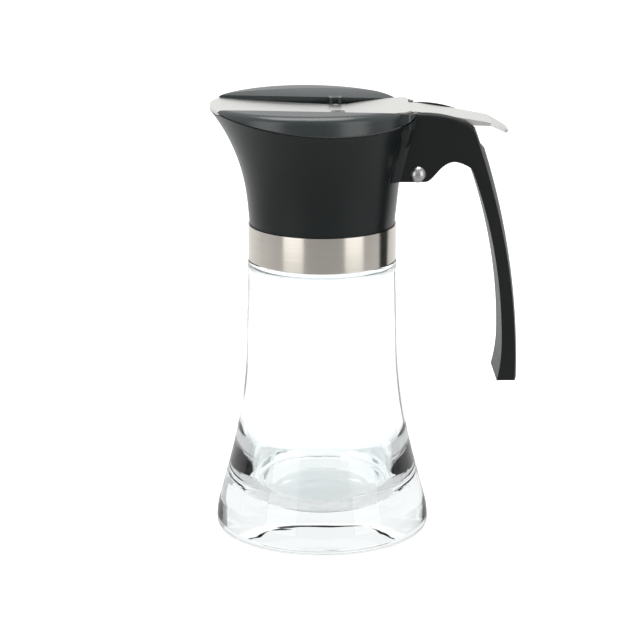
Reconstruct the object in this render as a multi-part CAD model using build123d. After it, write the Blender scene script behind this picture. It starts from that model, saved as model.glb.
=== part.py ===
from build123d import *
from math import asin, atan, cos, degrees, hypot, pi, radians, sin, sqrt, tan
import os

# Glass shaker for sugar, in millimetres. The origin is the centre of the jar's foot,
# +Z is up, +X points to the handle and -X to the pouring nose.

# Glass jar
base_r = 40.2
heel_z = 2.2
heel_top_z = 9.5
flare_angle = 14.9
waist_r = 28.2
waist_z = 78.0
shoulder_r = 27.7
shoulder_z = 103.4
shoulder_round = 1.2
jar_wall = 3.3
jar_floor = 9.5
jar_corner = 13.0
belly_angle = 10.5
belly_round = 25.0
punt_r = 31.0
punt_depth = 1.2
finish_wall = 3.2
finish_height = 10.8
throat_drop = 2.5
throat_rise = 1.0
throat_round = 5.0

# Screw joint between the jar's neck and the collar
band_r = 27.5
band_wall = 0.4
skirt_wall = 1.1
thread_pitch = 4.0
thread_height = 1.0
thread_root = 1.7
thread_crest = 0.8
thread_radial_gap = 0.25
thread_turns = 1.0
thread_under = 1.6
glass_thread_low = 2.6
collar_gap = 0.5
band_drop = 0.2
seal_height = 1.8
seal_inset = 0.1
flange_height = 2.2
collar_opening_r = 19.8
spigot_height = 4.2
spigot_wall = 1.6
spigot_side_gap = 0.05

# Flared head shell
head_foot_r = 26.9
head_wall = 2.2
cone_slope = 0.1
spout_cone_height = 9.2
spout_flare_r = 67.0
handle_cone_height = 13.2
handle_flare_r = 144.0
side_extra = 1.4
head_height = 46.0
rim_low_x = 12.0
rim_low_height = 38.2
rim_arc_r = 231.0

# Top cover
cover_inset = 0.3
nose_draw = 0.5
cover_wall = 2.2
cover_gap = 0.5
cover_seal_inset = 0.9
cover_seat_width = 1.5
spigot_gap = 0.1
cover_spigot_depth = 3.0
crown_x = -8.3
crown_height = 46.4
crown_arc_r = 500.0
crown_cross_r = 1200.0
roll_r = 3.0
channel_side_gap = 0.3
lip_height = 44.2
lip_slope = -0.0245
lip_flare_r = 60.0
lip_flare_height = 2.2
well_floor_height = 34.0
trough_wall = 1.8
trough_clearance = 0.4
well_wall_x = -9.0

# Ear between the head and the handle
ear_half = 13.5
ear_fairing_r = 8.0
ear_x = 33.1
ear_slope = 0.25
ear_low_height = 17.8
ear_reach = 15.0
cover_ear_wall = 0.7
cover_ear_run = 3.0
cover_ear_round = 2.0
ear_shelf_drop = 8.5
rim_curl_x = 26.5
rim_curl_r = 11.0

# Rocker: steel flap, thumb lever and pin
sheet = 1.2
pin_x = 5.25
pin_r = 1.0
pin_gap = 0.05
pin_under_flap = 0.8
pin_end_gap = 0.2
pin_socket = 2.3
rock_angle = 9.0
flap_low_height = 42.15
flap_low_x = 8.0
flap_arc_r = 485.0
crease_x = 9.5
crease_slope = 0.1
flap_half = 16.2
flap_nose_x = -41.3
flap_nose_r = 37.0
flap_end_x = 32.0
flap_chamfer = 2.3
flap_end_gap = 0.7
sweep_length = 6.0
sweep_gap = 0.6
nose_gap = 0.3
waist_half = 12.9
waist_from_pin = 3.7
flap_taper_x = -28.0
flap_widen = 12.0
ear_tab_half = 3.2
ear_tab_below = 2.8
boss_half = 2.6
boss_tip_half = 2.2
boss_gap = 0.4
boss_rise = 0.4
cap_bar = 0.8
cap_inset = 1.1
cap_gap = 0.05

# Thumb lever strip
strip_half = 10.0
strip_start_x = 13.0
strip_bend_x = 31.0
strip_bend_r = 21.4
strip_slope = -0.134
strip_bow_r = 412.0
thumb_bend_x = 61.2
thumb_bend_r = 3.0
thumb_angle = 27.5
thumb_length = 7.0
thumb_narrow_half = 9.3
thumb_tip_half = 4.4
flange_depth = 2.2
flange_start_x = 35.0
flange_full_x = 54.0
strip_side_gap = 0.6
strip_floor_drop = 0.5
strip_floor_slope = 0.31

# Mouth, its ring and the flap's seal
mouth_x = -23.6
mouth_long = 17.6
mouth_wide = 20.0
mouth_corner = 6.0
ring_wall = 1.2
ring_flange = 1.2
ring_height = 0.75
ring_depth = 3.2
pad_height = 1.2
pad_margin = 1.5
pad_gap = 0.05

# Spring under the thumb side
spring_x = 19.0
spring_r = 3.0
spring_wire = 0.7
spring_turns = 3.5
spring_cap_height = 1.2
peg_r = 2.2
peg_height = 1.2
spring_end_gap = 0.02

# Handle
handle_half = 13.0
grip_half = 10.9
grip_foot_half = 12.6
grip_waist_z = 98.0
rim_wall = 2.4
handle_top_height = 43.1
top_flat_x = 36.0
top_arc_r = 41.5
back_x = 73.2
back_z = 60.0
back_arc_r = 276.0
back_crown_r = 48.0
back_corner = 12.0
inner_x = 66.6
inner_z = 72.0
inner_arc_r = 190.0
inner_top_z = 137.6
handle_foot_z = 58.6
foot_flare = 1.7
web_z = 134.5
web_flat_x = 36.8
web_round = 3.5
arch_x = 48.0
arch_z = 141.9
handle_wall = 2.2
rim_round = 1.5
cover_plate_low = 65.0
cover_plate_high = 128.0
plate_gap = 0.1
plate_ledge = 1.0

# Fixings
tongue_gap = 0.1
tongue_end_x = 39.6
tongue_height = 12.6
tongue_slant = 2.9
cross_x = 34.6
cross_z = 137.3
cross_head_r = 2.95
cross_head_height = 1.5
barrel_r = 1.85
cross_shank_r = 1.25
barrel_end_gap = 3.0
post_r = 2.8
post_places = [(-15.0, 22.6), (-15.0, -22.6), (12.0, 22.4), (12.0, -22.4)]
lug_r = 6.0
lug_wall = 3.0
lug_below_rim = 7.3
post_screw_r = 1.25
post_screw_head_r = 2.6
post_screw_head = 1.6
post_screw_bite = 6.0

# Joints that only touch: the room left where two pieces lie against each other, and the
# length by which a cut or a block passes a form that it must clear
seat_gap = 0.03
barrel_gap = 0.05
beyond = 20.0
across = 140.0

# Levels and radii that follow from the sizes above
rim_z = shoulder_z + finish_height
seal_top_z = rim_z + seal_height
band_low_z = shoulder_z + collar_gap - band_drop
skirt_low_z = shoulder_z + collar_gap
head_low_z = seal_top_z + 0.8
flange_top_z = seal_top_z + flange_height
spigot_top_z = head_low_z + spigot_height
skirt_r = band_r - band_wall
skirt_in_r = skirt_r - skirt_wall
glass_crest_r = skirt_in_r - thread_radial_gap - 0.05
finish_r = glass_crest_r - thread_height
collar_crest_r = finish_r + thread_radial_gap
finish_bore_r = finish_r - finish_wall
spigot_r = head_foot_r - head_wall + 0.25
rim_low_z = head_low_z + rim_low_height
crown_z = head_low_z + crown_height
flap_low_z = head_low_z + flap_low_height
well_floor_z = head_low_z + well_floor_height
ear_low_z = head_low_z + ear_low_height
head_top_z = head_low_z + head_height
handle_top_z = head_low_z + handle_top_height
flap_centre_z = flap_low_z + flap_arc_r
pin_z = flap_low_z - sheet - pin_under_flap - pin_r
boss_face = waist_half + boss_gap
channel_end_x = flap_end_x + flap_end_gap
strip_channel_half = strip_half + strip_side_gap
channel_half = flap_half + channel_side_gap
clear_z = head_top_z + beyond


def side_face(*edges):
    """A closed outline drawn in X and Z, as a face in the middle plane."""
    return Plane.XZ * make_face(Curve() + list(edges))


def side_solid(face, half):
    """A side outline made as wide as twice half, across the middle plane."""
    return extrude(face, amount=half, both=True)


def polygon_side(points, half):
    """A solid of width twice half from straight points in X and Z."""
    return side_solid(side_face(Polyline(*points, close=True)), half)


def plan_solid(points, low, high):
    """A solid between two levels from straight points in X and Y."""
    return Pos(0, 0, low) * extrude(make_face(Polyline(*points, close=True)), amount=high - low)


def ring(outer, inner, low, high):
    """A plain round ring between two levels."""
    body = Cylinder(outer, high - low, align=(Align.CENTER, Align.CENTER, Align.MIN))
    bore = Cylinder(inner, high - low, align=(Align.CENTER, Align.CENTER, Align.MIN))
    return Pos(0, 0, low) * (body - bore)


def rod(x, z, radius, y_low, y_high):
    """A round bar that lies along Y."""
    return Pos(x, (y_low + y_high) / 2, z) * Rot(90, 0, 0) * Cylinder(radius, y_high - y_low)


def both_sides(points):
    """Points of one side followed by their mirror images in Y, in reverse order."""
    return points + [(x, -y) for x, y in reversed(points)]


def thread_ridge(root_r, crest_r, low, start):
    """One helical ridge that stands out of a wall of radius root_r towards crest_r."""
    path = Helix(thread_pitch, thread_pitch * thread_turns, root_r)
    out = 1 if crest_r > root_r else -1
    bite = 0.3 * out
    reach = crest_r - root_r
    profile = Polyline((-bite, -thread_root / 2), (reach, -thread_crest / 2),
                       (reach, thread_crest / 2), (-bite, thread_root / 2), close=True)
    plane = Plane(origin=path @ 0, x_dir=(1, 0, 0), z_dir=path % 0)
    ridge = sweep(plane * make_face(profile), path=path, is_frenet=True)
    return Pos(0, 0, low) * Rot(0, 0, start) * ridge


# Jar

def jar_flare():
    """Radius of the hollow curve between the waist and the straight flare."""
    turn = radians(flare_angle)
    spread = (waist_z - heel_top_z) * tan(turn) + (heel_top_z - heel_z) * tan(turn / 2)
    return (spread - (base_r - waist_r)) / (sin(turn) * tan(turn) - 1 + cos(turn))


def glass_jar():
    turn = radians(flare_angle)
    flare_r = jar_flare()
    flare_low = (waist_r + flare_r * (1 - cos(turn)), waist_z - flare_r * sin(turn))
    heel_r = (heel_top_z - heel_z) / sin(turn)
    heel_top = (base_r - heel_r * (1 - cos(turn)), heel_top_z)
    inner_turn = radians(belly_angle)
    inner_r = flare_r + jar_wall
    belly_top = (waist_r + flare_r - inner_r * cos(inner_turn), waist_z - inner_r * sin(inner_turn))
    cavity_r = belly_top[0] + belly_round * (1 - cos(inner_turn))
    belly_z = belly_top[1] - belly_round * sin(inner_turn)
    throat_low = (shoulder_r - jar_wall, shoulder_z - throat_drop)
    throat_high = (finish_bore_r, shoulder_z + throat_rise)
    punt_mid = (punt_r / 2, punt_depth * 0.75)
    outline = side_face(
        ThreePointArc((0, punt_depth), punt_mid, (punt_r, 0)),
        Line((punt_r, 0), (base_r - heel_z, 0)),
        CenterArc((base_r - heel_z, heel_z), heel_z, -90, 90),
        CenterArc((base_r - heel_r, heel_z), heel_r, 0, flare_angle),
        Line(heel_top, flare_low),
        CenterArc((waist_r + flare_r, waist_z), flare_r, 180, flare_angle),
        Line((waist_r, waist_z), (shoulder_r, shoulder_z - shoulder_round)),
        CenterArc((shoulder_r - shoulder_round, shoulder_z - shoulder_round), shoulder_round, 0, 90),
        Line((shoulder_r - shoulder_round, shoulder_z), (finish_r, shoulder_z)),
        Line((finish_r, shoulder_z), (finish_r, rim_z)),
        Line((finish_r, rim_z), (finish_bore_r, rim_z)),
        Line((finish_bore_r, rim_z), throat_high),
        Line(throat_high, throat_low),
        Line(throat_low, (waist_r - jar_wall, waist_z)),
        CenterArc((waist_r + flare_r, waist_z), inner_r, 180, belly_angle),
        CenterArc((cavity_r - belly_round, belly_z), belly_round, 0, belly_angle),
        Line((cavity_r, belly_z), (cavity_r, jar_floor + jar_corner)),
        CenterArc((cavity_r - jar_corner, jar_floor + jar_corner), jar_corner, -90, 90),
        Line((cavity_r - jar_corner, jar_floor), (0, jar_floor)),
        Line((0, jar_floor), (0, punt_depth)),
    )
    body = revolve(outline, Axis.Z)
    throat = [e for e in body.edges().filter_by(GeomType.CIRCLE)
              if abs(e.radius - finish_bore_r) < 0.01 and abs(e.center().Z - throat_high[1]) < 0.01
              or abs(e.radius - throat_low[0]) < 0.01 and abs(e.center().Z - throat_low[1]) < 0.01]
    body = fillet(throat, throat_round)
    return body + thread_ridge(finish_r, glass_crest_r, shoulder_z + glass_thread_low, 0)


def neck_seal():
    return ring(finish_r - seal_inset, finish_bore_r + seal_inset, rim_z, seal_top_z)


def screw_collar():
    outline = side_face(Polyline(
        (skirt_in_r, skirt_low_z), (skirt_r, skirt_low_z), (skirt_r, head_low_z),
        (spigot_r, head_low_z), (spigot_r, spigot_top_z), (spigot_r - spigot_wall, spigot_top_z),
        (spigot_r - spigot_wall, flange_top_z), (collar_opening_r, flange_top_z),
        (collar_opening_r, seal_top_z), (skirt_in_r, seal_top_z), close=True))
    low = shoulder_z + glass_thread_low - thread_under + thread_pitch / 8
    return revolve(outline, Axis.Z) + thread_ridge(skirt_in_r, collar_crest_r, low, 45)


def steel_band():
    return ring(band_r, skirt_r, band_low_z, head_low_z)


# Forms shared by the head, the cover and the seal between them

def reach(z, cone_height, flare_r):
    """How far the head's side stands from the axis at a level, on one end."""
    bend_z = head_low_z + cone_height
    bend_r = head_foot_r + cone_slope * cone_height
    if z <= bend_z:
        return head_foot_r + cone_slope * (z - head_low_z)
    start = sin(atan(cone_slope))
    now = start + (z - bend_z) / flare_r
    return bend_r + flare_r * (sqrt(1 - start ** 2) - sqrt(1 - now ** 2))


def flared(inset, low, high, steps=8):
    """The head's flared form, drawn in by inset, between two levels."""
    sections = []
    for i in range(steps + 1):
        z = low + (high - low) * i / steps
        spout = reach(z, spout_cone_height, spout_flare_r) - inset
        back = reach(z, handle_cone_height, handle_flare_r) - inset
        half = (spout + back) / 2
        extra = 0.01 + side_extra * ((z - head_low_z) / rim_low_height) ** 2
        sections.append(Pos((back - spout) / 2, 0, z) * Ellipse(half, half + extra))
    return loft(sections)


def on_circle(centre, radius, turn):
    """The point of a circle at a turn from straight up, towards +X."""
    return (centre[0] + radius * sin(turn), centre[1] + radius * cos(turn))


def above_rim(lift):
    """Everything above the curved joint of head and cover, raised by lift."""
    main = (rim_low_x, rim_low_z + rim_arc_r)
    turn = pi - asin((rim_curl_x - rim_low_x) / rim_arc_r)
    curl = on_circle(main, rim_arc_r - rim_curl_r, turn)
    outer = Pos(main[0], 0, main[1]) * Rot(90, 0, 0) * Cylinder(rim_arc_r - lift, across)
    inner = Pos(curl[0], 0, curl[1]) * Rot(90, 0, 0) * Cylinder(rim_curl_r - lift, across)
    under = on_circle(curl, rim_curl_r + beyond, turn)
    far = -across / 2
    rest = polygon_side([(far, under[1]), under, curl, (curl[0], clear_z), (far, clear_z)], across / 2)
    return outer & (inner + rest)


def ear_plan(grow, low, high, lean):
    """The ear's plan with its hollow side curves, made tall along a leaning line."""
    centre_r = (reach(rim_low_z, spout_cone_height, spout_flare_r)
                + reach(rim_low_z, handle_cone_height, handle_flare_r)) / 2
    centre_x = reach(rim_low_z, handle_cone_height, handle_flare_r) - centre_r
    fair_y = ear_half - 0.5 + ear_fairing_r
    far = centre_r + ear_fairing_r
    fair_x = centre_x + sqrt(far ** 2 - fair_y ** 2)
    start = (centre_x + (fair_x - centre_x) * centre_r / far, fair_y * centre_r / far + grow)
    radius = ear_fairing_r - grow
    end_x = ear_x - grow
    end = (end_x, fair_y - sqrt(radius ** 2 - (fair_x - end_x) ** 2))
    middle_turn = (atan((fair_y - start[1]) / (fair_x - start[0]))
                   + atan((fair_y - end[1]) / (fair_x - end[0]))) / 2
    middle = (fair_x - radius * cos(middle_turn), fair_y - radius * sin(middle_turn))
    inside_x = ear_x - ear_reach
    start_y = start[1]
    outline = Curve() + [
        Line((inside_x, -start_y), (start[0], -start_y)),
        ThreePointArc((start[0], -start_y), (middle[0], -middle[1]), (end[0], -end[1])),
        Line((end[0], -end[1]), end),
        ThreePointArc(end, middle, (start[0], start_y)),
        Line((start[0], start_y), (inside_x, start_y)),
        Line((inside_x, start_y), (inside_x, -start_y)),
    ]
    face = Pos(lean * (low - rim_low_z), 0, low) * make_face(outline)
    slant = hypot(1, lean)
    return extrude(face, amount=(high - low) * slant, dir=(lean / slant, 0, 1 / slant))


def ear_end_x(z):
    """Where the flat end of the ear lies at a level."""
    return ear_x + ear_slope * (z - rim_low_z)


def past_ear(low, high, half, gap=0.0):
    """The room on the handle's side of the ear's leaning end."""
    far = back_x + 30
    return polygon_side([(ear_end_x(low) + gap, low), (far, low), (far, high),
                         (ear_end_x(high) + gap, high)], half)


def flap_arc_z(x, depth):
    """Height of the flap's long curve at x, depth below its top face."""
    return flap_centre_z - sqrt((flap_arc_r + depth) ** 2 - (x - flap_low_x) ** 2)


def flap_curve(x_low, x_high, depth):
    """The flap's long curve as an arc, depth below its top face."""
    middle = (x_low + x_high) / 2
    return ThreePointArc(*[(x, flap_arc_z(x, depth)) for x in (x_low, middle, x_high)])


def layer(x_low, x_high, top, bottom, half):
    """A layer that follows the flap's long curve between two depths."""
    a = (x_low, flap_arc_z(x_low, top))
    b = (x_high, flap_arc_z(x_high, top))
    c = (x_high, flap_arc_z(x_high, bottom))
    d = (x_low, flap_arc_z(x_low, bottom))
    face = side_face(flap_curve(x_low, x_high, top), Line(b, c),
                     flap_curve(x_low, x_high, bottom), Line(d, a))
    return side_solid(face, half)


def channel_plan(low, high):
    """The wide part of the rocker's channel, seen from above, between two levels."""
    corner = flap_chamfer
    side = [(flap_nose_x - beyond, channel_half), (channel_end_x - corner, channel_half),
            (channel_end_x, channel_half - corner)]
    return plan_solid(both_sides(side), low, high)


def strip_floor(x):
    """Floor of the narrow channel: under the pressed strip."""
    return strip_low_end_z + (strip_exit_x - x) * strip_floor_slope


def pressed(x, z):
    """Where a point of the rocker lies when the thumb lever is fully pressed."""
    turn = radians(rock_angle)
    dx = x - pin_x
    dz = z - pin_z
    return (pin_x + dx * cos(turn) + dz * sin(turn), pin_z - dx * sin(turn) + dz * cos(turn))


def strip_top_z(x):
    """Height of the strip's top face between its two bends."""
    start_x = strip_bend_x + strip_bend_r * (sin(atan(crease_slope)) - sin(atan(strip_slope)))
    rise = strip_bend_r * (cos(atan(strip_slope)) - cos(atan(crease_slope)))
    start_z = flap_low_z - sheet + crease_slope * (strip_bend_x - crease_x) + rise
    first = atan(-strip_slope)
    now = sin(first) + (x - start_x) / strip_bow_r
    return start_z - strip_bow_r * (cos(first) - sqrt(1 - now ** 2))


strip_exit_x = pressed(thumb_bend_x, strip_top_z(thumb_bend_x) - sheet)[0]
flange_low = pressed(flange_full_x, strip_top_z(flange_full_x) - flange_depth)
strip_low_end_z = flange_low[1] - strip_floor_drop - (strip_exit_x - flange_low[0]) * strip_floor_slope


def strip_channel():
    """The narrow channel that the strip sinks into, open at the top and the back."""
    x_low = flap_end_x - 8
    x_high = back_x + 10
    return polygon_side([(x_low, strip_floor(x_low)), (x_high, strip_floor(x_high)),
                         (x_high, clear_z), (x_low, clear_z)], strip_channel_half)


def sweep_low():
    """Floor of the room that the flap's end sinks into."""
    return pressed(flap_end_x, flap_low_z + crease_slope * (flap_end_x - crease_x) - sheet)[1] - sweep_gap


def flap_sweep():
    """The room that the flap's end needs where it sinks over the head's back."""
    low = sweep_low()
    room = channel_plan(low, clear_z)
    return room & Pos(flap_end_x - sweep_length, 0, low) * Box(
        back_x, across, across, align=(Align.MIN, Align.CENTER, Align.MIN))


def nose_room():
    """The room under the flap's nose in the head's spout."""
    return layer(flap_nose_x - beyond, mouth_x, sheet - beyond, sheet + nose_gap, channel_half)


# Head

def post_axis_low():
    """Level of the underside of the lugs that carry the cover's screws."""
    return rim_low_z - lug_below_rim - lug_wall


def head_shell():
    body = flared(0, head_low_z, head_top_z)
    ear = ear_plan(0, ear_low_z, head_top_z, ear_slope)
    shelf = ear_shelf() - past_ear(head_low_z, clear_z, across / 2)
    body = body + ear + shelf
    body = body - flared(head_wall, spigot_top_z, head_top_z + 1)
    body = body - Pos(0, 0, head_low_z) * Cylinder(
        spigot_r + spigot_side_gap, spigot_height + 0.5, align=(Align.CENTER, Align.CENTER, Align.MIN))
    low = post_axis_low()
    inside = flared(head_wall / 2, head_low_z, head_top_z)
    for x, y in post_places:
        lug = Pos(x, y, low + lug_wall / 2) * Cylinder(lug_r, lug_wall)
        body = body + (lug & inside)
    tongue_half = strip_channel_half - tongue_gap
    tongue = polygon_side([
        (ear_end_x(ear_low_z) - 2, ear_low_z), (web_flat_x - 0.4, ear_low_z),
        (tongue_end_x, ear_low_z + tongue_slant), (tongue_end_x, ear_low_z + tongue_height),
        (ear_end_x(ear_low_z + tongue_height) - 2, ear_low_z + tongue_height)], tongue_half)
    body = body + tongue
    body = body - above_rim(0) - strip_channel() - flap_sweep() - nose_room()
    for x, y in post_places:
        body = body - Pos(x, y, low) * Cylinder(post_screw_r, beyond)
    return body - rod(cross_x, cross_z, barrel_r + barrel_gap, -beyond, beyond)


def cover_seal():
    body = flared(cover_seal_inset, head_low_z + 30, head_top_z)
    body = body - flared(head_wall, head_low_z + 30, head_top_z)
    body = body & above_rim(seat_gap)
    body = body - above_rim(cover_gap)
    gap = channel_plan(head_low_z, clear_z)
    return body - gap - polygon_side([(ear_x - 10, head_low_z), (back_x, head_low_z),
                                      (back_x, head_top_z), (ear_x - 10, head_top_z)], ear_half + 1)


def crown_form(inset):
    """All that lies under the cover's crowned top, drawn in by inset."""
    main = (crown_x, crown_z - crown_arc_r)
    radius = crown_arc_r - inset
    turn = asin((back_x - crown_x) / crown_arc_r)
    start = on_circle(main, radius, -turn)
    end = on_circle(main, radius, turn)
    low = head_low_z - beyond
    face = side_face(ThreePointArc(start, (crown_x, crown_z - inset), end),
                     Polyline(end, (end[0], low), (start[0], low), start))
    axis = Axis((0, 0, crown_z - crown_cross_r), (1, 0, 0))
    cross_turn = degrees(asin(across / 2 / crown_cross_r))
    return revolve(face.rotate(axis, -cross_turn), axis, 2 * cross_turn)


def cover_ellipse(inset):
    """Centre and half sizes of the cover's plan, drawn in by inset."""
    spout = reach(crown_z, spout_cone_height, spout_flare_r) - nose_draw
    back = reach(rim_low_z, handle_cone_height, handle_flare_r)
    half = (spout + back) / 2 - cover_inset - inset
    side = (reach(rim_low_z, spout_cone_height, spout_flare_r) + back) / 2 + side_extra
    return (back - spout) / 2, half, side - cover_inset - inset


def cover_room(inset, low):
    """The room under the crown inside the cover's ellipse, drawn in by inset."""
    centre_x, half, side = cover_ellipse(inset)
    plan = Pos(centre_x, 0, low) * Ellipse(half, side)
    return extrude(plan, amount=clear_z - low) & crown_form(inset)


def pillow(low):
    """The cover's crowned form with its rolled edge."""
    body = cover_room(0, low)
    edge = body.edges().sort_by(Axis.Z)[-1:]
    return fillet(edge, roll_r)


def ear_outline(grow):
    """The wide ear under the flap's end, seen from above, grown by a margin."""
    centre_x, half, side = cover_ellipse(-grow)
    wide = channel_half + cover_ear_wall + grow
    narrow = ear_half - cover_inset + grow
    far_x = ear_x + ear_reach
    shoulder_x = centre_x + half * sqrt(1 - (wide / side) ** 2) + cover_ear_run
    face = make_face(Polyline(*both_sides([
        (0, wide), (shoulder_x, wide), (shoulder_x + wide - narrow, narrow), (far_x, narrow)]), close=True))
    corners = [v for v in face.vertices() if abs(v.X - shoulder_x) < cover_ear_run / 2]
    return fillet(corners, cover_ear_round)


def lip_z(x):
    """Height of the channel's straight lips at x."""
    return head_low_z + lip_height + lip_slope * x


def cover_ear(low):
    """The cover's ear, as high as the channel's lips, over the head's own ear."""
    block = Pos(0, 0, low) * extrude(ear_outline(0), amount=clear_z - low)
    far = across / 2
    under_lips = polygon_side([(-far, low), (far, low), (far, lip_z(far)), (-far, lip_z(-far))], far)
    return block & under_lips & crown_form(0)


def ear_shelf():
    """The head's part of the wide ear: straight beside the flap, then drawn in to the narrow ear."""
    low = sweep_low() - sweep_gap
    face = Pos(0, 0, low) * ear_outline(cover_inset)
    step = channel_half + cover_ear_wall + cover_inset - ear_half
    upper = extrude(face, amount=head_top_z - low)
    return upper + extrude(face, amount=-ear_shelf_drop, taper=degrees(atan(step / ear_shelf_drop)))


def channel_flare():
    """The fall of both pillows towards the channel's lips, along one straight line."""
    turn = 2 * asin(sqrt(lip_flare_height / (2 * lip_flare_r)))
    centre = (channel_half + lip_flare_r * sin(turn), lip_flare_height - lip_flare_r)
    apex = (centre[0], lip_flare_height)
    inner_y = channel_half - channel_side_gap
    high = lip_flare_height + beyond
    arc = ThreePointArc((channel_half, 0), on_circle(centre, lip_flare_r, -turn / 2), apex)
    rest = Polyline(apex, (apex[0], high), (inner_y, high), (inner_y, 0), (channel_half, 0))
    x_low = flap_nose_x - beyond
    plane = Plane(origin=(x_low, 0, lip_z(x_low)), x_dir=(0, 1, 0), z_dir=(1, 0, 0))
    face = plane * make_face(Curve() + [arc, rest])
    length = (back_x - x_low) * hypot(1, lip_slope)
    half = extrude(face, amount=length, dir=(1, 0, lip_slope))
    return half + mirror(half, Plane.XZ)


def channel_room():
    """All of the cover's channel: the deck at the nose and the well for the rocker."""
    deck = pad_height + sheet + pad_gap + ring_height
    end_x = reach(well_floor_z, handle_cone_height, handle_flare_r) - head_wall - trough_clearance - trough_wall
    high = clear_z
    low_end = (flap_nose_x - 15, flap_arc_z(flap_nose_x - 15, deck))
    step = (well_wall_x, flap_arc_z(well_wall_x, deck))
    face = side_face(
        flap_curve(flap_nose_x - 15, well_wall_x, deck),
        Polyline(step, (well_wall_x, well_floor_z), (end_x, well_floor_z), (end_x, high),
                 (flap_nose_x - 15, high), low_end))
    return side_solid(face, 60) & channel_plan(well_floor_z - 1, high)


def trough():
    """The walls and floor around the channel, inside the head."""
    deck = pad_height + sheet + pad_gap + ring_height + trough_wall
    x_low = flap_nose_x - 15
    x_step = well_wall_x - trough_wall
    high = clear_z
    face = side_face(
        flap_curve(x_low, x_step, deck),
        Polyline((x_step, flap_arc_z(x_step, deck)), (x_step, well_floor_z - trough_wall),
                 (back_x, well_floor_z - trough_wall), (back_x, high), (x_low, high),
                 (x_low, flap_arc_z(x_low, deck))))
    block = side_solid(face, channel_half + trough_wall)
    inside = flared(head_wall + trough_clearance, head_low_z + ear_low_height, head_top_z)
    return block & inside & cover_room(cover_wall / 2, head_low_z)


def bearing_boss(side):
    """A block on the channel's wall with an open slot that holds one end of the pin."""
    outer = channel_half + trough_wall / 2
    points = [(pin_x - boss_half, side * outer), (pin_x - boss_half, side * channel_half),
              (pin_x - boss_tip_half, side * boss_face), (pin_x + boss_tip_half, side * boss_face),
              (pin_x + boss_half, side * channel_half), (pin_x + boss_half, side * outer)]
    return plan_solid(points, well_floor_z - trough_wall / 2, lip_z(pin_x) + boss_rise)


def bearing_slot():
    """The open slots in both blocks and the round seats for the pin."""
    radius = pin_r + pin_gap
    reach_y = boss_face + pin_socket
    seat = rod(pin_x, pin_z, radius, -reach_y, reach_y)
    slot = Pos(pin_x, 0, pin_z) * Box(2 * radius, 2 * reach_y, 30,
                                      align=(Align.CENTER, Align.CENTER, Align.MIN))
    return seat + slot


def mouth_plan(grow):
    """The mouth's rounded outline, grown by a margin."""
    return Pos(mouth_x, 0) * RectangleRounded(mouth_long + 2 * grow, mouth_wide + 2 * grow,
                                              mouth_corner + grow)


def mouth_column(grow):
    return Pos(0, 0, head_low_z) * extrude(mouth_plan(grow), amount=clear_z - head_low_z)


def top_cover():
    low = head_low_z + ear_low_height
    body = pillow(low) + cover_ear(low)
    upper = body & above_rim(cover_gap)
    lower = (body & above_rim(-cover_spigot_depth)) - above_rim(cover_gap)
    spigot = lower & flared(head_wall + spigot_gap, low, head_top_z)
    cavity = flared(head_wall + cover_seat_width, low - 1, head_top_z) & cover_room(cover_wall, low - 2)
    cavity = cavity - Pos(0, 0, -cover_wall) * channel_flare()
    body = (upper + spigot) - cavity
    body = body + trough()
    low_post = post_axis_low() + lug_wall
    for x, y in post_places:
        post = Pos(x, y, low_post) * Cylinder(post_r, 30, align=(Align.CENTER, Align.CENTER, Align.MIN))
        body = body + (post & cover_room(cover_wall / 2, low))
    body = body - channel_room() - flap_sweep() - strip_channel() - channel_flare()
    for side in (-1, 1):
        body = body + bearing_boss(side)
    body = body - bearing_slot()
    peg = Pos(spring_x, 0, well_floor_z) * Cylinder(
        peg_r, peg_height, align=(Align.CENTER, Align.CENTER, Align.MIN))
    body = body + peg
    body = body - mouth_column(ring_wall)
    for x, y in post_places:
        body = body - Pos(x, y, low_post) * Cylinder(
            post_screw_r, 2 * post_screw_bite, align=(Align.CENTER, Align.CENTER, Align.CENTER))
    past = past_ear(head_low_z, clear_z, 40)
    return body - past


def cover_screws():
    low = post_axis_low()
    screws = Part()
    for x, y in post_places:
        head = Pos(x, y, low - post_screw_head) * Cylinder(
            post_screw_head_r, post_screw_head, align=(Align.CENTER, Align.CENTER, Align.MIN))
        slot = Pos(x, y, low - post_screw_head) * Box(2 * post_screw_head_r, 0.6, 1.2)
        shank = Pos(x, y, low - 0.1) * Cylinder(
            post_screw_r, lug_wall + post_screw_bite, align=(Align.CENTER, Align.CENTER, Align.MIN))
        screws = screws + (head - slot + shank)
    return screws


def mouth_ring():
    top = sheet + pad_height + pad_gap
    deck = top + ring_height
    x_low = mouth_x - mouth_long
    x_high = mouth_x + mouth_long
    flange = layer(x_low, x_high, top, deck, 30) & mouth_column(ring_wall + ring_flange)
    tube = layer(x_low, x_high, top, deck + ring_depth, 30) & mouth_column(ring_wall)
    return flange + tube - mouth_column(0)


# Rocker

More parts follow.
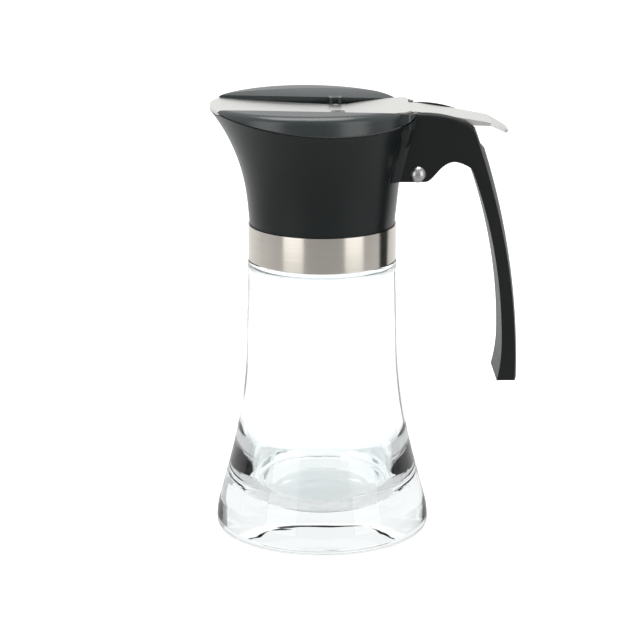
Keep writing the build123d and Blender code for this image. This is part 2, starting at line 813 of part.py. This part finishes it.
def flap_plan():
    """The flap's outline from above: round nose, waist at the pin, chamfered end."""
    nose_centre = flap_nose_x + flap_nose_r
    nose_side_x = nose_centre - sqrt(flap_nose_r ** 2 - flap_half ** 2)
    waist_low = pin_x - waist_from_pin
    waist_high = pin_x + waist_from_pin
    drop = flap_half - waist_half
    span = waist_low - flap_taper_x
    radius = (span ** 2 + drop ** 2) / (2 * drop)
    half_turn = atan(span / (radius - drop)) / 2
    taper_mid = (flap_taper_x + radius * sin(half_turn), flap_half - radius * (1 - cos(half_turn)))
    widen_x = waist_high + flap_widen
    widen_mid = (waist_high + flap_widen * 0.45, waist_half + drop * 0.62)
    edges = []
    for side in (-1, 1):
        def place(point):
            return (point[0], side * point[1])
        edges += [
            Line(place((nose_side_x, flap_half)), place((flap_taper_x, flap_half))),
            ThreePointArc(place((flap_taper_x, flap_half)), place(taper_mid), place((waist_low, waist_half))),
            Line(place((waist_low, waist_half)), place((waist_high, waist_half))),
            ThreePointArc(place((waist_high, waist_half)), place(widen_mid), place((widen_x, flap_half))),
            Line(place((widen_x, flap_half)), place((flap_end_x - flap_chamfer, flap_half))),
            Line(place((flap_end_x - flap_chamfer, flap_half)), place((flap_end_x, flap_half - flap_chamfer))),
        ]
    edges.append(ThreePointArc((nose_side_x, -flap_half), (flap_nose_x, 0), (nose_side_x, flap_half)))
    edges.append(Line((flap_end_x, -(flap_half - flap_chamfer)), (flap_end_x, flap_half - flap_chamfer)))
    return make_face(Curve() + edges)


def flap_side(x_end):
    """The flap's side outline: a long curve, a crease and a straight rise."""
    lean = atan(crease_slope)
    x_start = flap_nose_x - 1
    crease = (crease_x, flap_arc_z(crease_x, 0))
    end = (x_end, crease[1] + crease_slope * (x_end - crease_x))
    end_low = (end[0] + sheet * sin(lean), end[1] - sheet * cos(lean))
    crease_low_x = crease_x + sheet * tan(lean / 2)
    crease_low = (crease_low_x, flap_arc_z(crease_low_x, sheet))
    start = (x_start, flap_arc_z(x_start, 0))
    start_low = (x_start, flap_arc_z(x_start, sheet))
    return side_face(flap_curve(x_start, crease_x, 0), Line(crease, end), Line(end, end_low),
                     Line(end_low, crease_low), flap_curve(x_start, crease_low_x, sheet),
                     Line(start_low, start))


def spout_flap():
    column = Pos(0, 0, head_low_z) * extrude(flap_plan(), amount=clear_z - head_low_z)
    body = side_solid(flap_side(flap_end_x + 2), flap_half + 2) & column
    low = pin_z
    top = flap_low_z - sheet / 2
    for side in (-1, 1):
        tab = Pos(pin_x, side * (waist_half - sheet / 2), (low + top) / 2) * Box(
            2 * ear_tab_half, sheet, top - low)
        y_low = min(side * waist_half, side * (waist_half - sheet))
        foot = rod(pin_x, pin_z, ear_tab_half, y_low, y_low + sheet)
        body = body + tab + foot
    return body - rod(pin_x, pin_z, pin_r, -beyond, beyond)


def strip_line(depth):
    """The strip's line from under the flap to the thumb tip, depth below its top face."""
    lean = atan(crease_slope)
    slope = atan(strip_slope)
    a = (strip_start_x, flap_low_z - sheet / cos(lean) + crease_slope * (strip_start_x - crease_x))
    b = (strip_bend_x, a[1] + crease_slope * (strip_bend_x - strip_start_x))
    bend = (b[0] + strip_bend_r * sin(lean), b[1] - strip_bend_r * cos(lean))
    c = (bend[0] - strip_bend_r * sin(slope), bend[1] + strip_bend_r * cos(slope))
    bow = (c[0] + strip_bow_r * sin(slope), c[1] - strip_bow_r * cos(slope))
    bow_end = atan((thumb_bend_x - bow[0]) / sqrt(strip_bow_r ** 2 - (thumb_bend_x - bow[0]) ** 2))
    turn = radians(thumb_angle)
    knee = (bow[0] + (strip_bow_r - thumb_bend_r) * sin(bow_end),
            bow[1] + (strip_bow_r - thumb_bend_r) * cos(bow_end))

    def on_arc(centre, radius, angle):
        return (centre[0] + (radius - depth) * sin(angle), centre[1] + (radius - depth) * cos(angle))

    start = (a[0] + depth * sin(lean), a[1] - depth * cos(lean))
    first = on_arc(bend, strip_bend_r, -lean)
    crest = on_arc(bend, strip_bend_r, (-lean - slope) / 2)
    second = on_arc(bow, strip_bow_r, -slope)
    middle = on_arc(bow, strip_bow_r, (bow_end - slope) / 2)
    third = on_arc(bow, strip_bow_r, bow_end)
    bent = on_arc(knee, thumb_bend_r, (bow_end + turn) / 2)
    fourth = on_arc(knee, thumb_bend_r, turn)
    tip = (fourth[0] + thumb_length * cos(turn), fourth[1] - thumb_length * sin(turn))
    edges = [Line(start, first), ThreePointArc(first, crest, second),
             ThreePointArc(second, middle, third), ThreePointArc(third, bent, fourth), Line(fourth, tip)]
    return edges, start, tip


def strip_band(thickness):
    """The strip's side outline, a band of one thickness under its top line."""
    top, top_start, top_tip = strip_line(0)
    low, low_start, low_tip = strip_line(thickness)
    return side_face(*top, *low, Line(top_start, low_start), Line(top_tip, low_tip))


def thumb_lever():
    _, _, tip = strip_line(0)
    body = side_solid(strip_band(sheet), strip_half + 1)
    flange = side_solid(strip_band(flange_depth), strip_half)
    flange = flange - side_solid(strip_band(flange_depth + 1), strip_half - sheet)
    knee_z = strip_top_z(thumb_bend_x)
    run_z = strip_top_z(flange_full_x) - flange_depth
    keep = polygon_side([
        (flange_start_x, knee_z + 10), (flange_start_x, knee_z - 10), (flange_full_x, knee_z - 10),
        (flange_full_x, run_z), (thumb_bend_x, knee_z - sheet), (thumb_bend_x, knee_z + 10)], beyond)
    body = body + (flange & keep)
    tip_x = tip[0]
    side = [(strip_start_x - 1, strip_half), (flange_full_x - 6, strip_half), (thumb_bend_x, thumb_narrow_half),
            (tip_x - 1.6, thumb_tip_half + 1.9), (tip_x, thumb_tip_half)]
    return body & plan_solid(both_sides(side), head_low_z, clear_z)


def pin_caps():
    """Two caps that close the bearing slots over the pin's ends."""
    half = pin_r + pin_gap - cap_gap
    low = pin_z + pin_r + pin_gap
    top = lip_z(pin_x) + boss_rise
    y_high = boss_face + pin_socket - pin_end_gap
    caps = Part()
    for side in (-1, 1):
        bar = Pos(pin_x, side * (boss_face + y_high) / 2, top - cap_bar / 2) * Box(
            2 * half, y_high - boss_face, cap_bar)
        leg = Pos(pin_x, side * (boss_face + cap_inset + y_high) / 2, (low + top) / 2) * Box(
            2 * half, y_high - boss_face - cap_inset, top - low)
        caps = caps + (bar + leg)
    return caps


def lever_pin():
    half = boss_face + pin_socket - pin_end_gap
    return rod(pin_x, pin_z, pin_r, -half, half)


def flap_seal():
    body = layer(mouth_x - mouth_long, mouth_x + mouth_long, sheet, sheet + pad_height, 30)
    return body & mouth_column(ring_wall + ring_flange + pad_margin - 0.6)


def strip_under_z(x):
    """Underside of the strip where it lies flat under the flap."""
    lean = atan(crease_slope)
    return flap_low_z - 2 * sheet / cos(lean) + crease_slope * (x - crease_x)


def spring_top_z():
    return strip_under_z(spring_x) - spring_cap_height


def spring_cap():
    cap_r = spring_r + spring_wire
    body = Pos(spring_x, 0, spring_top_z()) * Cylinder(
        cap_r, 4, align=(Align.CENTER, Align.CENTER, Align.MIN))
    under = polygon_side([(spring_x - 10, spring_top_z() - 5), (spring_x + 10, spring_top_z() - 5),
                          (spring_x + 10, strip_under_z(spring_x + 10)),
                          (spring_x - 10, strip_under_z(spring_x - 10))], beyond)
    peg = Pos(spring_x, 0, spring_top_z() - peg_height / 2) * Cylinder(peg_r, peg_height)
    return (body & under) + peg


def lever_spring():
    low = well_floor_z + spring_wire / 2 + spring_end_gap
    high = spring_top_z() - spring_wire / 2 - spring_end_gap
    pitch = (high - low) / spring_turns
    path = Helix(pitch, high - low, spring_r)
    plane = Plane(origin=path @ 0, x_dir=(1, 0, 0), z_dir=path % 0)
    coil = sweep(plane * Circle(spring_wire / 2), path=path, is_frenet=True)
    print("spring: least gap between turns", round(pitch - spring_wire, 2), "mm")
    return Pos(spring_x, 0, low) * coil


# Handle

def handle_side():
    """The handle's side outline: top, back, foot, inner side, arch and web."""
    centre_x = back_x - back_arc_r
    top_turn = (top_flat_x, handle_top_z - top_arc_r)

    def back_at(z):
        return centre_x + sqrt(back_arc_r ** 2 - (z - back_z) ** 2)

    def inner_at(z):
        return inner_x - inner_arc_r + sqrt(inner_arc_r ** 2 - (z - inner_z) ** 2)

    corner_z = handle_top_z - handle_wall
    for _ in range(20):
        corner_x = back_at(corner_z)
        corner_z = top_turn[1] + sqrt(top_arc_r ** 2 - (corner_x - top_flat_x) ** 2)
    corner = (corner_x, corner_z)
    mid_top_x = (top_flat_x + corner[0]) / 2
    mid_top = (mid_top_x, top_turn[1] + sqrt(top_arc_r ** 2 - (mid_top_x - top_flat_x) ** 2))
    mid_back_z = (corner[1] + handle_foot_z) / 2
    inner_top = (inner_at(inner_top_z), inner_top_z)
    inner_mid_z = (inner_top_z + inner_z) / 2
    foot_in = (inner_x - foot_flare, handle_foot_z)
    foot_mid = (inner_x - foot_flare / 4, (inner_z + handle_foot_z) / 2)
    low_left = (ear_end_x(web_z), web_z)
    flat_end = (web_flat_x, web_z)
    rise_start = (web_flat_x + web_round * 0.75, web_z + web_round * 0.32)
    rise_end = (arch_x - 4.4, arch_z - 1.85)
    arch_top = (arch_x, arch_z)
    arch_mid = (arch_x + 4.2, arch_z - 1.35)
    face = side_face(
        Line(low_left, flat_end),
        Spline(flat_end, rise_start, rise_end, arch_top, arch_mid, inner_top,
               tangents=((1, 0), (0.36, -0.94))),
        ThreePointArc(inner_top, (inner_at(inner_mid_z), inner_mid_z), (inner_x, inner_z)),
        ThreePointArc((inner_x, inner_z), foot_mid, foot_in),
        Line(foot_in, (back_at(handle_foot_z), handle_foot_z)),
        ThreePointArc((back_at(handle_foot_z), handle_foot_z), (back_at(mid_back_z), mid_back_z), corner),
        ThreePointArc(corner, mid_top, (top_flat_x, handle_top_z)),
        Line((top_flat_x, handle_top_z), (ear_end_x(handle_top_z), handle_top_z)),
        Line((ear_end_x(handle_top_z), handle_top_z), low_left),
    )
    tip = [v for v in face.vertices() if hypot(v.X - corner[0], v.Z - corner[1]) < seat_gap]
    return fillet(tip, back_corner)


def handle_width(inset):
    """The handle's outline from the back: wide top, narrower grip, wider foot."""
    top = handle_half - inset
    grip = grip_half - inset
    foot = grip_foot_half - inset
    top_z = head_top_z + 10
    side = [(foot, handle_foot_z - 5), (grip, grip_waist_z), (top, web_z + 8)]
    edges = []
    for s in (-1, 1):
        edges.append(Spline((s * side[0][0], side[0][1]), (s * side[1][0], side[1][1]),
                            (s * side[2][0], side[2][1]), tangents=((-s * 0.12, 1), (0, 1))))
        edges.append(Line((s * side[2][0], side[2][1]), (s * top, top_z)))
    edges.append(Line((-foot, side[0][1]), (foot, side[0][1])))
    edges.append(Line((-top, top_z), (top, top_z)))
    face = Plane.YZ * make_face(Curve() + edges)
    return Pos(ear_x - 20, 0, 0) * extrude(face, amount=back_x)


def handle_crown():
    """The crowned back: an arc across the grip, carried along the back's long arc."""
    centre_x = back_x - back_arc_r
    half = handle_half + 5
    edge_x = back_arc_r - (back_crown_r - sqrt(back_crown_r ** 2 - half ** 2))
    inner = back_arc_r - 80
    face = make_face(Curve() + [
        ThreePointArc((edge_x, -half), (back_arc_r, 0), (edge_x, half)),
        Line((edge_x, half), (inner, half)), Line((inner, half), (inner, -half)),
        Line((inner, -half), (edge_x, -half))])
    up = revolve(face, Axis.Y, -40)
    down = revolve(face, Axis.Y, 10)
    return Pos(centre_x, 0, back_z) * (up + down)


def grip_form():
    """The whole handle as one solid form, before it is hollowed."""
    body = side_solid(handle_side(), handle_half) & handle_width(0) & handle_crown()
    return body


def about_inner(radius):
    """A long round block about the centre of the grip's inner curve."""
    return Pos(inner_x - inner_arc_r, 0, inner_z) * Rot(90, 0, 0) * Cylinder(radius, 60)


def handle_hollow():
    """The hollow in the grip, one wall in from the outside."""
    body = Pos(back_x - back_arc_r, 0, back_z) * Rot(90, 0, 0) * Cylinder(back_arc_r - handle_wall, 60)
    body = body - about_inner(inner_arc_r + handle_wall)
    low = cover_plate_low + plate_ledge
    left = ear_x + 5
    right = back_x + 10
    zone = polygon_side([(left, low), (right, low), (right, strip_floor(right) - handle_wall),
                         (left, strip_floor(left) - handle_wall)], handle_half)
    return body & zone & handle_width(rim_wall + plate_ledge)


def plate_zone(gap):
    """Where the plate closes the grip's hollow, on the side that faces the jar."""
    low = cover_plate_low + gap
    high = cover_plate_high - gap
    zone = polygon_side([(inner_x - 20, low), (back_x, low), (back_x, high), (inner_x - 20, high)],
                        handle_half)
    seat = about_inner(inner_arc_r + handle_wall - (seat_gap if gap else 0))
    return grip_form() & zone & seat & handle_width(rim_wall + gap)


def handle_shell():
    body = grip_form()
    rims = [e for e in body.edges() if e.center().Z > web_z and abs(abs(e.center().Y) - handle_half) < 0.4
            and e.center().Z > handle_top_z - 6 and e.center().X > ear_x + 1]
    body = fillet(rims, rim_round)
    body = body - handle_hollow() - plate_zone(0) - strip_channel()
    pocket_half = strip_channel_half
    top = ear_low_z + tongue_height + tongue_gap
    pocket = polygon_side([(ear_x - 12, ear_low_z - 5), (tongue_end_x + 0.3, ear_low_z - 5),
                           (tongue_end_x + 0.3, top), (ear_x - 12, top)], pocket_half)
    body = body - pocket
    near = rod(cross_x, cross_z, cross_shank_r + barrel_gap, -beyond, 0)
    return body - rod(cross_x, cross_z, barrel_r + barrel_gap, 0, beyond) - near


def handle_inner_cover():
    return plate_zone(plate_gap)


def dome(side):
    """A low domed head that lies against the handle's side."""
    height = cross_head_height
    sphere_r = (cross_head_r ** 2 + height ** 2) / (2 * height)
    centre_y = side * (handle_half + height - sphere_r)
    ball = Pos(cross_x, centre_y, cross_z) * Sphere(sphere_r)
    low = handle_half if side > 0 else -handle_half - 5
    return ball & rod(cross_x, cross_z, cross_head_r + 1, low, low + 5)


def handle_screw():
    tip = handle_half - 2 * barrel_end_gap
    shank = rod(cross_x, cross_z, cross_shank_r, -handle_half, tip)
    return dome(-1) + shank


def handle_nut():
    inner_end = -(strip_channel_half - barrel_end_gap)
    barrel = rod(cross_x, cross_z, barrel_r, inner_end, handle_half)
    return dome(1) + barrel - rod(cross_x, cross_z, cross_shank_r, -20, handle_half - 2 * barrel_end_gap)


nodes = {
    "glass_jar": glass_jar,
    "neck_seal": neck_seal,
    "screw_collar": screw_collar,
    "steel_band": steel_band,
    "head_shell": head_shell,
    "cover_seal": cover_seal,
    "top_cover": top_cover,
    "cover_screws": cover_screws,
    "mouth_ring": mouth_ring,
    "flap_seal": flap_seal,
    "spout_flap": spout_flap,
    "thumb_lever": thumb_lever,
    "lever_pin": lever_pin,
    "pin_caps": pin_caps,
    "spring_cap": spring_cap,
    "lever_spring": lever_spring,
    "handle_shell": handle_shell,
    "handle_inner_cover": handle_inner_cover,
    "handle_screw": handle_screw,
    "handle_nut": handle_nut,
}

os.makedirs("parts", exist_ok=True)
for name, make in nodes.items():
    export_step(make(), f"parts/{name}.step")
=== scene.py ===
import bpy
import math
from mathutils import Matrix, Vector

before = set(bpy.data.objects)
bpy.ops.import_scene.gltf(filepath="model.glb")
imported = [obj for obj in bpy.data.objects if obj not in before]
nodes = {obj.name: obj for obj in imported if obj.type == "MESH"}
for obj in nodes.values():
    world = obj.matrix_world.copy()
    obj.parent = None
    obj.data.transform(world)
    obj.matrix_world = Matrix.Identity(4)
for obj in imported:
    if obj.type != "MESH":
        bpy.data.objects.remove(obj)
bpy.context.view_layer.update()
scene = bpy.context.scene


# Helpers for shader nodes

def empty_tree(owner):
    """The node tree of a material or world, with its default nodes taken out."""
    owner.use_nodes = True
    owner.node_tree.nodes.clear()
    return owner.node_tree


def object_coords(tree, scale=(1, 1, 1)):
    coord = tree.nodes.new("ShaderNodeTexCoord")
    mapping = tree.nodes.new("ShaderNodeMapping")
    mapping.inputs["Scale"].default_value = scale
    tree.links.new(coord.outputs["Object"], mapping.inputs["Vector"])
    return mapping.outputs["Vector"]


def one_axis(tree, kind, axis):
    """One axis of the texture coordinates of that kind."""
    coord = tree.nodes.new("ShaderNodeTexCoord")
    split = tree.nodes.new("ShaderNodeSeparateXYZ")
    tree.links.new(coord.outputs[kind], split.inputs["Vector"])
    return split.outputs[axis]


def noise(tree, vector, scale, detail=2.0, rough=0.5):
    node = tree.nodes.new("ShaderNodeTexNoise")
    node.inputs["Scale"].default_value = scale
    node.inputs["Detail"].default_value = detail
    node.inputs["Roughness"].default_value = rough
    tree.links.new(vector, node.inputs["Vector"])
    return node.outputs["Fac"]


def ramp(tree, value, low, high, pos_low=0.3, pos_high=0.7):
    """A colour that goes from low to high while the value goes from pos_low to pos_high."""
    node = tree.nodes.new("ShaderNodeValToRGB")
    node.color_ramp.elements[0].position = pos_low
    node.color_ramp.elements[1].position = pos_high
    node.color_ramp.elements[0].color = (*low, 1.0)
    node.color_ramp.elements[1].color = (*high, 1.0)
    tree.links.new(value, node.inputs["Fac"])
    return node.outputs["Color"]


def map_range(tree, value, to_low, to_high, from_low=0.0, from_high=1.0):
    node = tree.nodes.new("ShaderNodeMapRange")
    node.inputs["From Min"].default_value = from_low
    node.inputs["From Max"].default_value = from_high
    node.inputs["To Min"].default_value = to_low
    node.inputs["To Max"].default_value = to_high
    tree.links.new(value, node.inputs["Value"])
    return node.outputs["Result"]


def calculate(tree, operation, first, second):
    node = tree.nodes.new("ShaderNodeMath")
    node.operation = operation
    tree.links.new(first, node.inputs[0])
    tree.links.new(second, node.inputs[1])
    return node.outputs["Value"]


def ray_is(tree, *kinds):
    """1 for rays of the kinds named, 0 for the rest."""
    path = tree.nodes.new("ShaderNodeLightPath")
    value = path.outputs[kinds[0]]
    for kind in kinds[1:]:
        value = calculate(tree, "MAXIMUM", value, path.outputs[kind])
    return value


def bump(tree, bsdf, height, strength, distance):
    node = tree.nodes.new("ShaderNodeBump")
    node.inputs["Strength"].default_value = strength
    node.inputs["Distance"].default_value = distance
    tree.links.new(height, node.inputs["Height"])
    tree.links.new(node.outputs["Normal"], bsdf.inputs["Normal"])


# Materials. Noise scales are features per metre and bump distances are metres.

def new_material(name):
    """A new material with one principled shader."""
    mat = bpy.data.materials.new(name)
    tree = empty_tree(mat)
    out = tree.nodes.new("ShaderNodeOutputMaterial")
    bsdf = tree.nodes.new("ShaderNodeBsdfPrincipled")
    tree.links.new(bsdf.outputs["BSDF"], out.inputs["Surface"])
    return mat, tree, bsdf


def vary(tree, bsdf, pattern, dark, light, rough):
    """Colour and roughness both follow the pattern between their two ends."""
    tree.links.new(ramp(tree, pattern, dark, light), bsdf.inputs["Base Color"])
    tree.links.new(map_range(tree, pattern, *rough), bsdf.inputs["Roughness"])


def plastic(name, dark, light, rough, grain, shine):
    """Moulded plastic: broad patches in colour and gloss, and a fine grain in the relief."""
    mat, tree, bsdf = new_material(name)
    bsdf.inputs["Specular IOR Level"].default_value = shine
    coords = object_coords(tree)
    vary(tree, bsdf, noise(tree, coords, scale=60), dark, light, rough)
    fine = noise(tree, coords, scale=grain, detail=3)
    bump(tree, bsdf, fine, strength=0.12, distance=0.00004)
    return mat


def steel(name, dark, light, rough, density, relief):
    """Metal with so many noise features per metre on x, y and z. Unequal ones make lines."""
    mat, tree, bsdf = new_material(name)
    bsdf.inputs["Metallic"].default_value = 1.0
    lines = noise(tree, object_coords(tree, density), scale=1.0, detail=4, rough=0.6)
    vary(tree, bsdf, lines, dark, light, rough)
    bump(tree, bsdf, lines, strength=relief, distance=0.00003)
    return mat


def clear_glass(name, dark, light, index):
    """Clear glass with shallow waves that are twice as tall as they are wide."""
    mat, tree, bsdf = new_material(name)
    bsdf.inputs["Transmission Weight"].default_value = 1.0
    bsdf.inputs["IOR"].default_value = index
    bsdf.inputs["Roughness"].default_value = 0.0
    waves = noise(tree, object_coords(tree, scale=(1, 1, 0.5)), scale=70, detail=1.0)
    tree.links.new(ramp(tree, waves, dark, light), bsdf.inputs["Base Color"])
    bump(tree, bsdf, waves, strength=0.10, distance=0.0015)
    return mat


def rubber(name, dark, light, rough):
    """Matt rubber with a fine speckle."""
    mat, tree, bsdf = new_material(name)
    speckle = noise(tree, object_coords(tree), scale=700, detail=3)
    vary(tree, bsdf, speckle, dark, light, rough)
    bump(tree, bsdf, speckle, strength=0.2, distance=0.00005)
    return mat


black = plastic(
    "black_plastic",
    dark=(0.003, 0.005, 0.005),
    light=(0.004, 0.007, 0.007),
    rough=(0.26, 0.32),
    grain=2600,
    shine=0.34,
)
# The same black plastic as the head, with a lighter base colour: painted sheen that stands in for
# the broad light the cover's domes reflect.
cover_black_painted_sheen = plastic(
    "cover_black_plastic_painted_sheen",
    dark=(0.010, 0.017, 0.017),
    light=(0.014, 0.021, 0.021),
    rough=(0.24, 0.30),
    grain=2600,
    shine=0.80,
)
inner_black = plastic(
    "inner_black_plastic",
    dark=(0.010, 0.013, 0.013),
    light=(0.014, 0.017, 0.017),
    rough=(0.42, 0.5),
    grain=2000,
    shine=0.45,
)
handle_black = plastic(
    "handle_black_plastic",
    dark=(0.003, 0.004, 0.004),
    light=(0.005, 0.006, 0.006),
    rough=(0.34, 0.42),
    grain=2300,
    shine=0.32,
)
band_steel = steel(
    "band_steel",
    dark=(0.61, 0.575, 0.52),
    light=(0.67, 0.63, 0.57),
    rough=(0.15, 0.19),
    density=(30, 30, 2600),
    relief=0.08,
)
flap_steel = steel(
    "flap_steel",
    dark=(0.78, 0.775, 0.745),
    light=(0.86, 0.855, 0.825),
    rough=(0.24, 0.33),
    density=(25, 2200, 25),
    relief=0.2,
)
polished = steel(
    "polished_steel",
    dark=(0.72, 0.72, 0.72),
    light=(0.80, 0.80, 0.80),
    rough=(0.08, 0.14),
    density=(300, 300, 300),
    relief=0.05,
)
screw_steel = steel(
    "screw_steel",
    dark=(0.44, 0.44, 0.43),
    light=(0.52, 0.52, 0.51),
    rough=(0.20, 0.28),
    density=(300, 300, 300),
    relief=0.05,
)
seal = rubber(
    "seal_rubber",
    dark=(0.10, 0.10, 0.10),
    light=(0.14, 0.14, 0.14),
    rough=(0.55, 0.7),
)
glass = clear_glass(
    "jar_glass",
    dark=(0.93, 0.965, 0.975),
    light=(0.955, 0.98, 0.975),
    index=1.5,
)

looks = {
    "glass_jar": glass,
    "neck_seal": seal,
    "screw_collar": inner_black,
    "steel_band": band_steel,
    "head_shell": black,
    "cover_seal": seal,
    "top_cover": cover_black_painted_sheen,
    "cover_screws": polished,
    "mouth_ring": inner_black,
    "flap_seal": seal,
    "spout_flap": flap_steel,
    "thumb_lever": flap_steel,
    "lever_pin": polished,
    "pin_caps": inner_black,
    "spring_cap": inner_black,
    "lever_spring": polished,
    "handle_shell": handle_black,
    "handle_inner_cover": handle_black,
    "handle_screw": screw_steel,
    "handle_nut": polished,
}
for name, mat in looks.items():
    mesh = nodes[name].data
    if not mesh.materials:
        mesh.materials.append(mat)
    for i in range(len(mesh.materials)):
        mesh.materials[i] = mat


# Studio floor

def plane(name, size, location, rotation):
    """A flat rectangle that is staged with the studio and isn't part of the object."""
    x = size[0] / 2
    y = size[1] / 2
    mesh = bpy.data.meshes.new(name)
    mesh.from_pydata([(-x, -y, 0), (x, -y, 0), (x, y, 0), (-x, y, 0)], [], [(0, 1, 2, 3)])
    obj = bpy.data.objects.new(name, mesh)
    scene.collection.objects.link(obj)
    obj.location = location
    obj.rotation_euler = rotation
    return obj


floor_side = 8.0
floor_drop = 0.0002
floor_colour = 0.80
floor_glow = 0.5
# Reflections lose this share of the floor's white at front_y, and nothing from rear_y on.
front_loss = 0.54
front_y = -0.3
rear_y = 0.45


def floor_material():
    """White floor that also glows for the camera and through glass."""
    mat = bpy.data.materials.new("floor_white")
    tree = empty_tree(mat)
    out = tree.nodes.new("ShaderNodeOutputMaterial")
    both = tree.nodes.new("ShaderNodeAddShader")
    diffuse = tree.nodes.new("ShaderNodeBsdfDiffuse")
    glow = tree.nodes.new("ShaderNodeEmission")
    glow.inputs["Color"].default_value = (1, 1, 1, 1)
    front = map_range(tree, one_axis(tree, "Object", "Y"), front_loss, 0.0, front_y, rear_y)
    loss = calculate(tree, "MULTIPLY", ray_is(tree, "Is Glossy Ray"), front)
    tree.links.new(map_range(tree, loss, floor_colour, 0.0), diffuse.inputs["Color"])
    seen = ray_is(tree, "Is Camera Ray", "Is Transmission Ray")
    tree.links.new(map_range(tree, seen, 0.0, floor_glow), glow.inputs["Strength"])
    tree.links.new(diffuse.outputs["BSDF"], both.inputs[0])
    tree.links.new(glow.outputs["Emission"], both.inputs[1])
    tree.links.new(both.outputs["Shader"], out.inputs["Surface"])
    return mat


floor = plane("floor", (floor_side, floor_side), (0, 0, -floor_drop), (0, 0, 0))
floor.data.materials.append(floor_material())


# Upright cards: a bright panel to each side in front of the object, and a grey flag to each side
# of it, a little behind. They hide the object from a camera that stands behind one of them.

panel_strength = 1.8
flag_colour = (0.40, 0.41, 0.42, 1)
flag_rough = 0.9


def panel_material():
    mat = bpy.data.materials.new("studio_panel")
    tree = empty_tree(mat)
    out = tree.nodes.new("ShaderNodeOutputMaterial")
    light = tree.nodes.new("ShaderNodeEmission")
    light.inputs["Color"].default_value = (1, 1, 1, 1)
    light.inputs["Strength"].default_value = panel_strength
    tree.links.new(light.outputs["Emission"], out.inputs["Surface"])
    return mat


def flag_material():
    mat, tree, bsdf = new_material("studio_flag")
    bsdf.inputs["Base Color"].default_value = flag_colour
    bsdf.inputs["Roughness"].default_value = flag_rough
    return mat


def card(name, turn, distance, size, material):
    """An upright card that faces the object, turned by so many degrees from the camera's side."""
    angle = math.radians(turn)
    x = distance * math.sin(angle)
    y = -distance * math.cos(angle)
    board = plane(name, size, (x, y, size[1] / 2), (math.radians(90), 0, angle))
    board.data.materials.append(material)


panel = panel_material()
flag = flag_material()
card("panel_left", turn=-46, distance=0.46, size=(0.27, 0.42), material=panel)
card("panel_right", turn=48, distance=0.46, size=(0.25, 0.42), material=panel)
card("flag_right", turn=114, distance=0.50, size=(0.16, 0.30), material=flag)
card("flag_left", turn=-106, distance=0.60, size=(0.12, 0.25), material=flag)


# World

white_strength = 1.0
studio_strength = 0.9
studio_grey = (0.56, 0.57, 0.58)
studio_white = (1, 1, 1)
# By the y part of a direction, the shade goes from studio_grey at grey_y to studio_white at white_y.
grey_y = -0.9
white_y = 0.7
# By its z part, it goes all that way from white_height up, and at the horizon only this share of it.
white_height = 0.22
horizon_share = 0.5


def studio_world():
    """White for the camera and through glass, and a studio's grey and white for other rays."""
    world = bpy.data.worlds.new("studio")
    tree = empty_tree(world)
    out = tree.nodes.new("ShaderNodeOutputWorld")
    white = tree.nodes.new("ShaderNodeBackground")
    white.inputs["Color"].default_value = (1, 1, 1, 1)
    white.inputs["Strength"].default_value = white_strength
    studio = tree.nodes.new("ShaderNodeBackground")
    studio.inputs["Strength"].default_value = studio_strength
    depth = map_range(tree, one_axis(tree, "Generated", "Y"), 0.0, 1.0, grey_y, white_y)
    height = map_range(tree, one_axis(tree, "Generated", "Z"), horizon_share, 1.0, 0.0, white_height)
    lit = calculate(tree, "MULTIPLY", depth, height)
    tree.links.new(ramp(tree, lit, studio_grey, studio_white, 0.0, 1.0), studio.inputs["Color"])
    mix = tree.nodes.new("ShaderNodeMixShader")
    tree.links.new(ray_is(tree, "Is Camera Ray", "Is Transmission Ray"), mix.inputs["Fac"])
    tree.links.new(studio.outputs["Background"], mix.inputs[1])
    tree.links.new(white.outputs["Background"], mix.inputs[2])
    tree.links.new(mix.outputs["Shader"], out.inputs["Surface"])
    return world


scene.world = studio_world()


# Lamp

def soft_box(name, location, target, size, power):
    """An area lamp that is aimed at the target, with its power in watts."""
    light = bpy.data.lights.new(name, "AREA")
    light.shape = "RECTANGLE"
    light.size, light.size_y = size
    light.energy = power
    obj = bpy.data.objects.new(name, light)
    obj.location = location
    aim = Vector(target) - Vector(location)
    obj.rotation_euler = aim.to_track_quat("-Z", "Y").to_euler()
    scene.collection.objects.link(obj)


soft_box("top_box", location=(0.0, -0.05, 1.2), target=(0, 0, 0.1), size=(1.1, 0.8), power=11)


# Camera at the photograph's angle

camera_place = (-0.0236, -0.8697, 0.3141)
camera_sensor = 36
camera_lens = 134.94
camera_near = 0.01
pitch = math.radians(-15.11)
sight_x = 0.0262
sight_y = 0.9997

camera_data = bpy.data.cameras.new("camera")
camera_data.sensor_width = camera_sensor
camera_data.lens = camera_lens
camera_data.clip_start = camera_near
camera = bpy.data.objects.new("camera", camera_data)
camera.location = camera_place
heading = Vector((sight_x * math.cos(pitch), sight_y * math.cos(pitch), math.sin(pitch)))
camera.rotation_euler = heading.to_track_quat("-Z", "Y").to_euler()
scene.collection.objects.link(camera)
scene.camera = camera

scene.view_settings.view_transform = "Standard"
